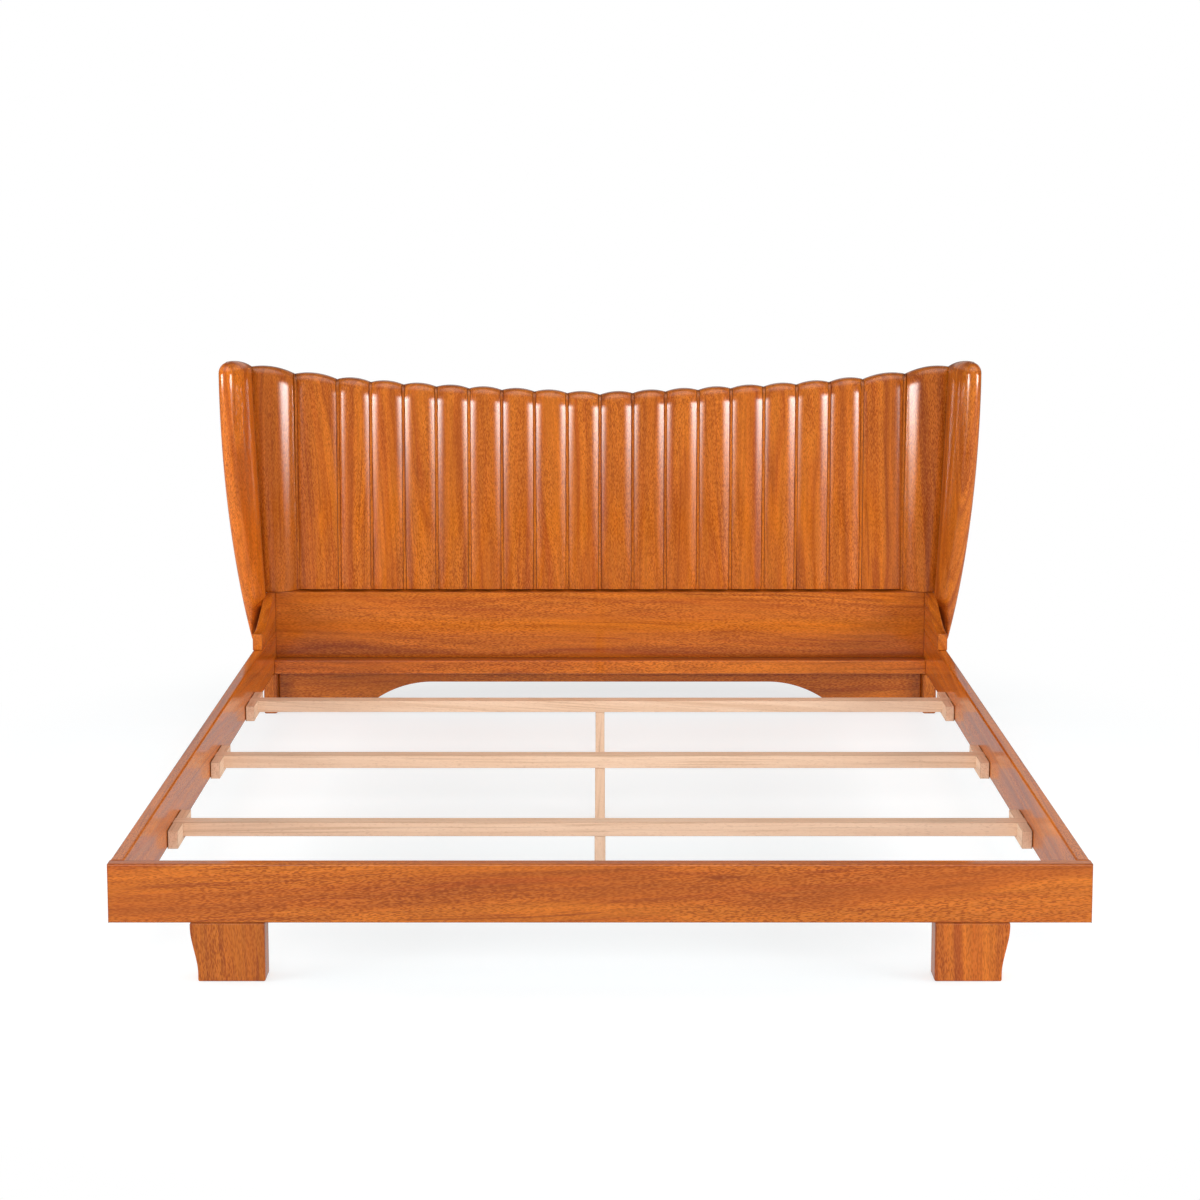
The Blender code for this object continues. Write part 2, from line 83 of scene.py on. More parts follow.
# Headboard, fine shapes that only show here
BOND_GAP = 0.00004           # between staves: too narrow to see through
TOP_LEAN = 0.004             # how far the outermost stave's top leans forward
STRIP_HALF = 0.0040          # half the beaded strip that covers a joint between two flutes
STRIP_RISE = 0.0022          # height of the strip's sides above the groove line
STRIP_BEAD = 0.0006          # crown of the strip
QUIRK_WIDTH = 0.0013         # sharp groove on each side of the strip
QUIRK_DEPTH = 0.0040
WIDE_FALL = 0.85             # fall of the wide stave's crown on its outer side, in flute depths
CORNER_FALL = 1.25           # fall of the corner stave's crown on its inner side
SOFT_ROLL = 0.054            # height over which a stave's front rolls back
ROLL_POWER = 1.5             # how slowly the roll starts, 1 is a plain ellipse
STAVE_CHAMFER = 0.0022       # sloped lower front edge of a stave
FOOT_SLOPE = 0.215           # further rise of that edge, as a share of the crown that it cuts back
FOOT_TONGUE = 0.006          # how far the corner stave's outer end reaches down past the bracket
TONGUE_SLOPE = 0.0008        # width over which that end slopes down
WING_SWELL = 0.012           # crown of a wing's inner face, 5 mm more than in the solid
WING_ROUND = 0.025           # half the thickness of a wing's nose
WING_ROOT_SHADE = 0.06             # share of a wing's inner face over which the painted shade line at its root fades
CREST_PLACE = 0.94           # highest place along a wing's top, from its root to its nose
CREST_FALL = 0.10            # share of the rise that is lost again towards the nose
TAIL_START = 0.90            # share of the tail's height above which it keeps its full size

# How dark the painted shade in the gaps gets, from 0 to 1
NOTCH_SHADE = 0.62           # the joints between staves, where they roll back at the top
FOOT_SHADE = 0.55            # the staves' lower edges that are cut back
CORNER_FOOT_SHADE = 1.0      # the corner stave's lower edge
LEDGER_SHADE = 1.0           # painted shadow along the ledger's top where it meets the panel
TAIL_SHADE = (0.86, 1.12)    # shares of the tail's inner face between which the painted shade in its gap fades out
TAIL_SHADE_GROWTH = 4.0      # how fast that painted shade widens down the tail
TAIL_SHADE_LEAST = 0.01      # its width at the top, as a share of its full width

# Boards
FOOT_WAIST = 0.0155          # how far a front foot draws in, 1.5 mm less than in the solid
FOOT_SWING = (0.12, 0.93)    # the S-curve's start and end, as shares of the foot's height
ARCH_SHOULDER = 0.4705       # from a side rail in to where the apron's arch is level
APRON_WEB = 0.05625          # height of the apron above its arch
ARCH_RADIUS = 0.300
BRACKET_NOSE_HEIGHT = 0.047  # 12 mm taller than in the solid
BRACKET_NOSE_FLAT = 0.030
NOTCH_PLAY = 0.0005          # between a bearer and each side of its notch
SEAT_GAP = 0.0003            # between a bearer and the foot of its notch

# Rounded edges
ARRIS = 0.0035
RAIL_ARRIS = 0.005
PANEL_ARRIS = 0.0008
BRACKET_ARRIS = 0.0018
FOOT_ARRIS = 0.006
BEECH_ARRIS = 0.0009
BUTT_SHARE = 0.15                # share of the rounding that is left where an end butts against a board
ROUNDED_ANGLE = math.radians(40)  # sharper edges of a board are rounded
CREASE_ANGLE = math.radians(50)   # sharper edges of a stave or wing keep a crisp line

# Steps of the surfaces
ARRIS_STEPS = 3
CURVE_STEPS = 32
FLUTE_STEPS = 36
QUIRK_STEPS = 10
STAVE_LEVELS = 24
ROLL_STEPS = 12
WING_FACE_STEPS = 14
WING_NOSE_STEPS = 20
WING_LEVELS = 48
TAIL_LEVELS = 16
DOME_STEPS = 14
DOME_END = math.radians(86)

# First seed of the random draws in each group of pieces
SEEDS = {"board": 100, "rear_foot": 120, "front_foot": 130, "apron": 140, "bracket": 150,
         "bearer": 160, "leg": 170, "block": 180, "headboard": 200, "dowel": 300}
SIDE_SEEDS = 20              # from the headboard's left half to its right half

# How each board is cut from its log
GRAIN_LEAN = 4.5             # most that the grain leans, in degrees
LOG_SPOT = ((0.0, 20.0), (0.12, 0.30), (0.06, 0.22))  # range of places along the log and off its heart

# Colours of the mahogany
MAHOGANY_TONES = (
    (0.28, (0.330, 0.066, 0.004)),
    (0.45, (0.490, 0.114, 0.006)),
    (0.60, (0.590, 0.156, 0.009)),
    (0.78, (0.480, 0.112, 0.006)),
)
MAHOGANY_RED = (0.370, 0.064, 0.004, 1.0)
MAHOGANY_VEIN = (0.250, 0.040, 0.003, 1.0)
MAHOGANY_PORE = (0.230, 0.040, 0.002, 1.0)
MAHOGANY_FLECK = (0.660, 0.210, 0.035, 1.0)
MAHOGANY_EDGE = (0.200, 0.034, 0.002, 1.0)
# painted shade for the gaps: quirks, notches and feet of the staves, roots and tails of the wings, the
# ledger's top
MAHOGANY_GAP_SHADE = (0.070, 0.012, 0.003, 1.0)

# Marks of the mahogany: noise cells to the metre, and ranges of noise with the strength at both ends
MAHOGANY_DRIFT_CELLS = (1.3, 7.0, 7.0)
MAHOGANY_DRIFT = (0.0, 0.055, 0.055)
RING_CELLS = 46.0
STREAK_CELLS = (0.9, 34.0, 34.0)
STREAK_RANGE = (0.54, 0.74, 0.0, 0.75)
VEIN_CELLS = (0.7, 105.0, 105.0)
VEIN_RANGE = (0.60, 0.72, 0.0, 0.60)
RIBBON_CELLS = (4.5, 95.0, 95.0)
RIBBON_RANGE = (0.30, 0.70)
RIBBON_SHADES = (0.88, 1.10)         # how light the ribbons are
RIBBON_GLOSS = (0.34, 0.44)          # roughness of the wood below the lacquer
RIBBON_EDGES = (0.275, 0.55)         # how dark the boards' edges are
OPEN_GRAIN_CELLS = (2.2, 15.0, 15.0)
OPEN_GRAIN_RANGE = (0.34, 0.60, 0.55, 1.0)
PORE_CELLS = (110.0, 600.0, 600.0)
PORE_RANGE = (0.53, 0.60)
PORE_SHARE = 0.64
FLECK_RANGE = (0.46, 0.36)
FLECK_SHARE = 0.30
MAHOGANY_EDGE_REACH = 0.0035
# strength of the painted shade in the gaps
MAHOGANY_GAP_SHADE_SHARE = 0.9
GAP_SHADE_LACQUER = 0.1                   # share of the lacquer that is left where a gap has painted shade

# Boards that are lighter or darker than the rest.  The apron and the rear feet are darkened as painted
# shade, for they stand low in the shade of the bed; the left wing is lightened and the right one
# darkened, partly to even out their random tone and partly as painted light for how the lamps fall on them
BOARD_VARIATION = (0.95, 1.05)
STAVE_SHADE = 0.93
PIECE_TONE_AND_SHADE = {
    "head_apron": 0.74, "head_ledger": 1.20, "head_panel": 0.96,
    "front_foot_left": 0.84, "front_foot_right": 1.12,
    "rear_foot_left": 0.75, "rear_foot_right": 0.75,
    "side_rail_left": 1.22, "side_rail_right": 1.22,
    "wing_left": 1.31, "wing_right": 0.92,
}

# Beech, in the same way
BEECH_TONES = (
    (0.28, (0.730, 0.487, 0.323)),
    (0.50, (0.832, 0.584, 0.411)),
    (0.72, (0.870, 0.636, 0.463)),
)
BEECH_LINE = (0.600, 0.375, 0.230, 1.0)
BEECH_RAY = (0.480, 0.270, 0.150, 1.0)
BEECH_EDGE = (0.360, 0.185, 0.090, 1.0)
# painted shadow where a block meets its rail
BEECH_GAP_SHADE = (0.090, 0.028, 0.010, 1.0)
BEECH_DRIFT_CELLS = (1.1, 6.0, 6.0)
BEECH_DRIFT = (0.0, 0.02, 0.02)
BEECH_GRAIN_CELLS = (1.6, 75.0, 75.0)
BEECH_GLOSS_RANGE = (0.3, 0.7, 0.42, 0.55)
BEECH_LINE_CELLS = (1.8, 260.0, 260.0)
BEECH_LINE_RANGE = (0.54, 0.70, 0.0, 0.60)
BEECH_RAY_CELLS = (90.0, 560.0, 560.0)
BEECH_RAY_RANGE = (0.57, 0.70)
BEECH_RAY_SHARE = 0.28
BEECH_EDGE_REACH = 0.0022
BEECH_EDGE_SHARE = 0.45
BEECH_GAP_SHADE_START = (0.88, 0.97)      # share of a block's width where its painted shadow line beside the rail starts

# Floor
WHITE = (1.0, 1.0, 1.0, 1.0)
FLOOR_HALF = 30.0
FLOOR_WHITE = (0.92, 0.92, 0.925, 1.0)
FLOOR_SHADE = (0.49, 0.538, 0.555, 1.0)  # share of the light that the eye sees on it, cooled a little
FLOOR_LIFT = 0.555                       # plain white that the eye sees with it
FLOOR_FADE = (1.15, 2.10)                # distances between which it turns plain white to the eye

# Surroundings as reflections show them: two directions along +Z or +Y, then the levels there
WORLD_LIGHT = 0.30
MIRRORED_TURN = (-0.35, 0.45)                 # along +Y, from the front's levels to the back's
FRONT_MIRRORED = (-0.24, -0.17, 0.46, 0.24)
BACK_MIRRORED = (-0.22, -0.12, 0.42, 0.08)
SKY_MIRRORED = (0.12, 0.24, 0.0, 0.48)        # added at the back, above the horizon
SKY_END = (0.40, 0.62, 1.0, 0.15)             # share of it that is left further up
SIDE_GLOW = 24.0
SIDE_GLOW_ANGLE = (24, 57, 69, 77)       # starts, is full, starts to fade and ends: degrees from the front
SIDE_GLOW_POWER = 3.4                    # how slowly it grows between the first two
SIDE_GLOW_LEAN = 0.08                    # makes the glow on the right wider than on the left
SIDE_GLOW_FOOT = (-0.156, -0.114)        # along +Z, where it starts and is full
SIDE_GLOW_TOP = (-0.115, -0.03)          # along +Z, where it fades out again
LOW_GLOW = 0.8                           # weaker glow below it
LOW_GLOW_FOOT = (-0.21, -0.15)
TOP_GLOW = 1.9
TOP_GLOW_FOOT = (0.18, 0.60)
TOP_GLOW_BACK = (-0.60, -0.10)           # along +Y, where it fades out towards the back

# Lamps: name, place, point that it shines at, width and height, power
LAMPS = (
    ("side_lamp_left", (-3.5, -1.5, 0.75), (0.0, -1.5, 0.75), (2.6, 1.1), 104.0),
    ("side_lamp_right", (3.5, -1.5, 0.75), (0.0, -1.5, 0.75), (2.6, 1.1), 113.0),
    ("top_lamp", (0.0, -0.2, 4.2), (0.0, -0.2, 0.0), (5.0, 4.0), 46.0),
    ("fill_lamp", (0.0, -6.5, 3.2), (0.0, 0.5, 0.5), (6.0, 4.0), 165.0),
    ("rear_lamp", (0.0, 5.5, 2.5), (0.0, 1.0, 0.5), (5.0, 3.0), 50.0),
)

# Camera
CAMERA_SPOT = (0.0, -5.2531, 1.7122)
CAMERA_PITCH = math.radians(5.886)
CAMERA_LENS = 63.34
CAMERA_SENSOR = 36.0
CAMERA_SHIFT = -0.20
CAMERA_DEPTH = 100.0

# Places read from the frame
PANEL_LOW, PANEL_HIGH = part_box("head_panel")
RAIL_LOW, RAIL_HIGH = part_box("side_rail_right")
HALF_INNER = RAIL_LOW.x
HALF_OUTER = RAIL_HIGH.x
PANEL_FACE = PANEL_LOW.y
PANEL_TOP = PANEL_HIGH.z
STAVE_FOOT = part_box("stave_right_01")[0].z
STAVE_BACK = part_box("stave_right_01")[1].y
GROOVE_LINE = STAVE_BACK - STAVE_EDGE_THICKNESS
STRAIGHT_HALF = HALF_OUTER + WING_CLEARANCE - CORNER_STAVE_LOW * math.cos(CORNER_TURN)
STAVE_PITCH = (STRAIGHT_HALF - WIDE_STAVE) / REGULAR_STAVES
TOP_CENTRE = PANEL_TOP + STAVE_HEIGHT
WING_TAIL = PANEL_TOP - WING_TAIL_DROP
WING_LOW_HALF = HALF_OUTER + WING_LOW_FLARE
WING_HIGH_HALF = HALF_OUTER + WING_HIGH_FLARE


class Finish:
    """The nodes of a material or of the surroundings, with a short way to add and join them."""

    def __init__(self, owner):
        owner.use_nodes = True
        self.owner = owner
        self.tree = owner.node_tree
        self.tree.nodes.clear()

    def add(self, kind, sockets=(), **settings):
        """A node with its settings; a socket takes a constant or another node's output."""
        made = self.tree.nodes.new(kind)
        for key, value in settings.items():
            setattr(made, key, value)
        for key, value in dict(sockets).items():
            if isinstance(value, bpy.types.NodeSocket):
                self.tree.links.new(value, made.inputs[key])
            else:
                made.inputs[key].default_value = value
        return made

    def place(self):
        """The place on the object."""
        return self.add("ShaderNodeTexCoord").outputs["Object"]

    def maths(self, operation, first, second=0.0):
        """One number from two."""
        return self.add("ShaderNodeMath", {0: first, 1: second}, operation=operation).outputs[0]

    def vectors(self, operation, first, second=(0.0, 0.0, 0.0)):
        """One place from two."""
        return self.add("ShaderNodeVectorMath", {0: first, 1: second}, operation=operation).outputs[0]

    def length(self, vector):
        """How far a place is from the origin."""
        return self.add("ShaderNodeVectorMath", {0: vector}, operation="LENGTH").outputs["Value"]

    def noise(self, vector, cells, detail=2.0, roughness=0.5, output=0):
        """Soft random values around a half, with so many cells to the metre along each axis."""
        made = self.add("ShaderNodeTexNoise", {"Vector": self.vectors("MULTIPLY", vector, cells),
                                               "Scale": 1.0, "Detail": detail, "Roughness": roughness})
        return made.outputs[output]

    def between(self, value, low, high, out_low=0.0, out_high=1.0):
        """A value eased from one range into another."""
        made = self.add("ShaderNodeMapRange", {"Value": value, "From Min": low, "From Max": high,
                                               "To Min": out_low, "To Max": out_high},
                        interpolation_type="SMOOTHSTEP")
        return made.outputs[0]

    def mix(self, share, first, second):
        """Two numbers mixed by a share."""
        return self.add("ShaderNodeMix", {0: share, 2: first, 3: second}).outputs[0]

    def blend(self, share, first, second, mode="MIX"):
        """Two colours mixed by a share."""
        made = self.add("ShaderNodeMix", {0: share, 6: first, 7: second}, data_type="RGBA",
                        blend_type=mode)
        return made.outputs[2]

    def either(self, share, first, second):
        """Two shaders mixed by a share."""
        return self.add("ShaderNodeMixShader", {0: share, 1: first.outputs[0], 2: second.outputs[0]})

    def tones(self, value, stops):
        """A colour picked along a row of tones."""
        made = self.add("ShaderNodeValToRGB", {"Fac": value})
        ramp = made.color_ramp
        while len(ramp.elements) < len(stops):
            ramp.elements.new(0.5)
        for element, (place, colour) in zip(ramp.elements, stops):
            element.position = place
            element.color = (*colour, 1.0)
        return made.outputs["Color"]

    def near_edge(self, low, high, reach):
        """1 along a box's edges, falling to 0 at a distance: the second least depth below its faces."""
        middle = [(a + b) / 2 for a, b in zip(low, high)]
        half = [(b - a) / 2 for a, b in zip(low, high)]
        size = self.vectors("ABSOLUTE", self.vectors("SUBTRACT", self.place(), middle))
        depth = self.vectors("SUBTRACT", half, size)
        x, y, z = self.add("ShaderNodeSeparateXYZ", {0: depth}).outputs
        lesser = self.maths("MINIMUM", self.maths("MAXIMUM", x, y), z)
        second = self.maths("MAXIMUM", self.maths("MINIMUM", x, y), lesser)
        return self.between(second, 0.0, reach, 1.0, 0.0)

    def seam(self):
        """How much painted shade a point has in a gap, from 0 to 1."""
        return self.add("ShaderNodeAttribute", attribute_name="seam").outputs["Fac"]

    def surface(self, shader):
        """Hand the finished shader to its owner."""
        world = isinstance(self.owner, bpy.types.World)
        kind = "ShaderNodeOutputWorld" if world else "ShaderNodeOutputMaterial"
        self.add(kind, {"Surface": shader.outputs[0]})
        return self.owner


def piece_tone_and_shade(name):
    """How light a board is beside the rest: its own tone, and for some boards painted light or shade."""
    fluted = name.startswith(("stave_left", "stave_right"))
    return PIECE_TONE_AND_SHADE.get(name, STAVE_SHADE if fluted else 1.0)


def grain_turn(grain, lean):
    """The turn that lays a log along a board's grain, with a small lean."""
    if grain == "across":
        return (0.0, lean, 0.0)
    if grain == "along":
        return (lean, 0.0, -math.pi / 2)
    return (0.0, math.pi / 2 + lean, 0.0)


def sawn_place(wood, grain, draw):
    """The place in the log: grain along the first axis, each board cut from a spot of its own."""
    lean = math.radians(draw.uniform(-GRAIN_LEAN, GRAIN_LEAN))
    spot = [draw.uniform(*span) for span in LOG_SPOT]
    cut = wood.add("ShaderNodeMapping", {"Vector": wood.place(), "Location": spot,
                                         "Rotation": grain_turn(grain, lean)})
    return cut.outputs[0]


def wander(wood, place, cells, reach):
    """A place pushed off its line by slow noise, so that the grain wanders."""
    drift = wood.noise(place, cells, output="Color")
    centred = wood.vectors("SUBTRACT", drift, (0.5, 0.5, 0.5))
    return wood.vectors("ADD", place, wood.vectors("MULTIPLY", centred, reach))


def mahogany(name, grain, draw, box, gap_shaded):
    """Lacquered mahogany: growth rings round the log's heart, a ribbon figure, dark pores, bright flecks.

    A board that is square to its box also gets unevenly darkened edges, and a piece with gaps gets
    painted shade in them, and less gloss there.
    """
    wood = Finish(bpy.data.materials.new(name + "_wood"))
    grained = wander(wood, sawn_place(wood, grain, draw), MAHOGANY_DRIFT_CELLS, MAHOGANY_DRIFT)

    heart = wood.length(wood.vectors("MULTIPLY", grained, (0.0, 1.0, 1.0)))
    rings = wood.add("ShaderNodeTexNoise", {"W": heart, "Scale": RING_CELLS, "Detail": 3.0,
                                            "Roughness": 0.6}, noise_dimensions="1D")
    tone = wood.tones(rings.outputs[0], MAHOGANY_TONES)
    streak = wood.between(wood.noise(grained, STREAK_CELLS), *STREAK_RANGE)
    tone = wood.blend(streak, tone, MAHOGANY_RED)
    vein = wood.between(wood.noise(grained, VEIN_CELLS), *VEIN_RANGE)
    tone = wood.blend(vein, tone, MAHOGANY_VEIN)

    ribbon = wood.noise(grained, RIBBON_CELLS)
    # its lightness: random tone, and for some boards painted light or shade
    level = piece_tone_and_shade(name) * draw.uniform(*BOARD_VARIATION)
    shade = wood.between(ribbon, *RIBBON_RANGE, *(share * level for share in RIBBON_SHADES))
    tone = wood.blend(1.0, tone, shade, "MULTIPLY")

    zone = wood.noise(grained, OPEN_GRAIN_CELLS, detail=1.0)
    open_grain = wood.between(zone, *OPEN_GRAIN_RANGE)
    dash = wood.noise(grained, PORE_CELLS, detail=0.0)
    pore = wood.maths("MULTIPLY", wood.between(dash, *PORE_RANGE), open_grain)
    fleck = wood.maths("MULTIPLY", wood.between(dash, *FLECK_RANGE), open_grain)
    tone = wood.blend(wood.maths("MULTIPLY", pore, PORE_SHARE), tone, MAHOGANY_PORE)
    tone = wood.blend(wood.maths("MULTIPLY", fleck, FLECK_SHARE), tone, MAHOGANY_FLECK)

    if box:
        edge_darkening = wood.between(ribbon, *RIBBON_RANGE, *RIBBON_EDGES)
        edge = wood.maths("MULTIPLY", wood.near_edge(*box, MAHOGANY_EDGE_REACH), edge_darkening)
        tone = wood.blend(edge, tone, MAHOGANY_EDGE)
    lacquer = 1.0
    # painted shade in the gaps, and less lacquer there
    if gap_shaded:
        seam = wood.seam()
        tone = wood.blend(wood.maths("MULTIPLY", seam, MAHOGANY_GAP_SHADE_SHARE), tone, MAHOGANY_GAP_SHADE)
        lacquer = wood.between(seam, 0.0, 1.0, 1.0, GAP_SHADE_LACQUER)

    relief = wood.add("ShaderNodeBump", {"Strength": 0.06, "Distance": 0.0006, "Height": pore}, invert=True)
    gloss = wood.between(ribbon, *RIBBON_RANGE, *RIBBON_GLOSS)
    shader = wood.add("ShaderNodeBsdfPrincipled", {
        "Base Color": tone, "Roughness": gloss, "Specular IOR Level": 0.10, "Normal": relief.outputs[0],
        "Coat Weight": lacquer, "Coat Roughness": 0.11, "Coat IOR": 1.5})
    return wood.surface(shader)


def beech(name, grain, draw, box, gap_shaded):
    """Plain satin beech: pale straight grain, thin darker lines, short rays and slightly darkened edges.

    A piece with gaps gets a painted shadow line in them.
    """
    wood = Finish(bpy.data.materials.new(name + "_wood"))
    grained = wander(wood, sawn_place(wood, grain, draw), BEECH_DRIFT_CELLS, BEECH_DRIFT)
    stripe = wood.noise(grained, BEECH_GRAIN_CELLS, detail=3.0, roughness=0.6)
    tone = wood.tones(stripe, BEECH_TONES)
    line = wood.between(wood.noise(grained, BEECH_LINE_CELLS, detail=1.0), *BEECH_LINE_RANGE)
    tone = wood.blend(line, tone, BEECH_LINE)
    ray = wood.between(wood.noise(grained, BEECH_RAY_CELLS, detail=1.0), *BEECH_RAY_RANGE)
    tone = wood.blend(wood.maths("MULTIPLY", ray, BEECH_RAY_SHARE), tone, BEECH_RAY)
    if box:
        edge = wood.maths("MULTIPLY", wood.near_edge(*box, BEECH_EDGE_REACH), BEECH_EDGE_SHARE)
        tone = wood.blend(edge, tone, BEECH_EDGE)
    # painted shadow line in the gap
    if gap_shaded:
        tone = wood.blend(wood.between(wood.seam(), *BEECH_GAP_SHADE_START), tone, BEECH_GAP_SHADE)
    relief = wood.add("ShaderNodeBump", {"Strength": 0.12, "Distance": 0.0004, "Height": ray}, invert=True)
    gloss = wood.between(stripe, *BEECH_GLOSS_RANGE)
    shader = wood.add("ShaderNodeBsdfPrincipled", {
        "Base Color": tone, "Roughness": gloss, "IOR": 1.45, "Normal": relief.outputs[0]})
    return wood.surface(shader)


TIMBERS = {"mahogany": mahogany, "beech": beech}


def ease(share):
    """An S-curve from 0 to 1, level at both ends: three squares less two cubes."""
    return share * share * (3 - 2 * share)


def skin(name, rings, strip_caps):
    """A closed skin over rings of points: rows of four-sided faces from each ring to the next.

    The ends are closed by one face each or, with strip_caps, by strips from the first half of the
    ring across to the second half run backwards.
    """
    levels, count = rings.shape[:2]
    start = np.arange(count)
    end = (start + 1) % count
    base = np.arange(levels - 1)[:, None] * count
    around = np.stack([base + start, base + end, base + count + end, base + count + start], axis=-1)
    faces = around.reshape(-1, 4).tolist()
    first, last = 0, (levels - 1) * count
    if strip_caps:
        step = np.arange(count // 2 - 1)
        strip = np.stack([step + 1, step, count - 1 - step, count - 2 - step], axis=-1)
        faces += (first + strip).tolist() + (last + strip[:, ::-1]).tolist()
    else:
        faces += [(first + start[::-1]).tolist(), (last + start).tolist()]
    mesh = bpy.data.meshes.new(name)
    mesh.from_pydata(rings.reshape(-1, 3).tolist(), [], faces)
    return mesh


def mark_gap_shades(mesh, depth):
    """Keep with each point how much painted shade it has in a gap, from 0 to 1."""
    values = np.asarray(depth, dtype=np.float32).ravel()
    mesh.attributes.new("seam", "FLOAT", "POINT").data.foreach_set("value", values)


def face_outwards(mesh):
    """Turn the whole skin over if its signed volume is negative."""
    mesh.calc_loop_triangles()
    corners = np.empty(len(mesh.loop_triangles) * 3, dtype=np.int32)
    mesh.loop_triangles.foreach_get("vertices", corners)
    points = np.empty(len(mesh.vertices) * 3)
    mesh.vertices.foreach_get("co", points)
    a, b, c = points.reshape(-1, 3)[corners.reshape(-1, 3)].transpose(1, 0, 2)
    if np.einsum("ij,ij->i", a, np.cross(b, c)).sum() < 0:
        mesh.flip_normals()


def place_piece(name, mesh, body, timber, grain, seed, box=None):
    """Put a finished mesh into the scene for the solid of that name, in a wood of its own."""
    face_outwards(mesh)
    draw = np.random.default_rng(seed)
    mesh.materials.append(TIMBERS[timber](name, grain, draw, box, "seam" in mesh.attributes))
    piece = bpy.data.objects.new(name + "_finish", mesh)
    bpy.context.scene.collection.objects.link(piece)
    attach(piece, body)
    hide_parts(name)
    return piece


def round_edges(piece, radius):
    """Round a board's edges and keep its faces flat."""
    piece.data.shade_smooth()
    bevel = piece.modifiers.new("arris", "BEVEL")
    bevel.width = radius
    bevel.segments = ARRIS_STEPS
    bevel.limit_method = "ANGLE"
    bevel.angle_limit = ROUNDED_ANGLE
    bevel.harden_normals = True


def shaped_board(name, outline, place, body, timber, grain, arris, seed, gap_shades=None):
    """A board sawn to an outline: the outline carried straight through from side 0 to side 1."""
    outline = np.asarray(outline, dtype=float)
    rings = np.stack([place(outline[:, 0], outline[:, 1], side) for side in (0.0, 1.0)])
    mesh = skin(name, rings, False)
    if gap_shades is not None:
        mark_gap_shades(mesh, gap_shades)
    piece = place_piece(name, mesh, body, timber, grain, seed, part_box(name))
    round_edges(piece, arris)
    return piece


def keep_ends_square(piece):
    """Leave the edges round a board's two ends nearly square: those that stay within one end's ring."""
    edges = np.empty(len(piece.data.edges) * 2, dtype=np.int32)
    piece.data.edges.foreach_get("vertices", edges)
    first_end = edges.reshape(-1, 2) < len(piece.data.vertices) // 2
    weight = np.where(first_end[:, 0] == first_end[:, 1], BUTT_SHARE, 1.0).astype(np.float32)
    piece.data.attributes.new("bevel_weight_edge", "FLOAT", "EDGE").data.foreach_set("value", weight)
    piece.modifiers["arris"].limit_method = "WEIGHT"


def planed_board(name, body, timber, grain, arris, seed, gap_shades=None):
    """A square board in the box of its solid: its end outline carried from one end to the other."""
    low, high = (np.array(corner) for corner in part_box(name))
    size = high - low
    axis = int(np.argmax(size))
    side_a, side_b = [k for k in range(3) if k != axis]

    def place(u, v, end):
        points = np.empty((len(u), 3))
        points[:, axis] = low[axis] + end * size[axis]
        points[:, side_a] = low[side_a] + u * size[side_a]
        points[:, side_b] = low[side_b] + v * size[side_b]
        return points

    square = [(0, 0), (1, 0), (1, 1), (0, 1)]
    return shaped_board(name, square, place, body, timber, grain, arris, seed, gap_shades)


def make_boards():
    """The rails, head boards and battens, and the plain rear feet."""
    boards = (("foot_rail", "across", RAIL_ARRIS), ("side_rail_left", "along", RAIL_ARRIS),
              ("side_rail_right", "along", RAIL_ARRIS), ("head_panel", "across", PANEL_ARRIS),
              ("stave_sill", "across", ARRIS), ("head_ledger", "across", ARRIS),
              ("back_batten_lower", "across", ARRIS), ("back_batten_upper", "across", ARRIS))
    # painted shadow along the ledger's upper rear edge, where it meets the panel
    ledger_top_shadow = np.tile([0.0, 0.0, LEDGER_SHADE, 0.0], 2)
    for seed, (name, grain, arris) in enumerate(boards, SEEDS["board"]):
        gap_shades = ledger_top_shadow if name == "head_ledger" else None
        keep_ends_square(planed_board(name, "frame", "mahogany", grain, arris, seed, gap_shades))
    for seed, (side, _) in enumerate(SIDES, SEEDS["rear_foot"]):
        planed_board("rear_foot_" + side, "frame", "mahogany", "upright", FOOT_ARRIS, seed)


def make_front_feet():
    """Block feet: a rectangle whose outer side draws in towards the floor along an S-curve."""
    for seed, (side, sign) in enumerate(SIDES, SEEDS["front_foot"]):
        name = "front_foot_" + side
        low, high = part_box(name)
        inner, outer = sorted((abs(low.x), abs(high.x)))
        run = np.linspace(0.0, 1.0, CURVE_STEPS + 1)
        swing = ease(np.clip((run - FOOT_SWING[0]) / (FOOT_SWING[1] - FOOT_SWING[0]), 0.0, 1.0))
        curve = np.column_stack([outer - FOOT_WAIST * (1 - swing), run * high.z])
        outline = np.vstack([[inner, 0.0], curve, [inner, high.z]])

        def place(u, v, back, sign=sign, low=low, high=high):
            return np.column_stack([sign * u, np.full_like(u, low.y + back * (high.y - low.y)), v])

        shaped_board(name, outline, place, "frame", "mahogany", "upright", ARRIS, seed)


def make_apron():
    """The apron: a board with a level arch cut from its foot, rounded down at both ends by an arc."""
    low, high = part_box("head_apron")
    arch_height = high.z - APRON_WEB
    turn = math.acos(1 - arch_height / ARCH_RADIUS)
    angle = np.linspace(turn, 0.0, CURVE_STEPS + 1)
    arch = np.column_stack([HALF_INNER - ARCH_SHOULDER + ARCH_RADIUS * np.sin(angle),
                            arch_height - ARCH_RADIUS * (1 - np.cos(angle))])
    ends = [(high.x, 0.0), (high.x, high.z), (low.x, high.z), (low.x, 0.0)]
    outline = np.vstack([ends, arch * (-1, 1), arch[::-1]])

    def place(u, v, back):
        return np.column_stack([u, np.full_like(u, low.y + back * (high.y - low.y)), v])

    shaped_board("head_apron", outline, place, "frame", "mahogany", "across", ARRIS, SEEDS["apron"])


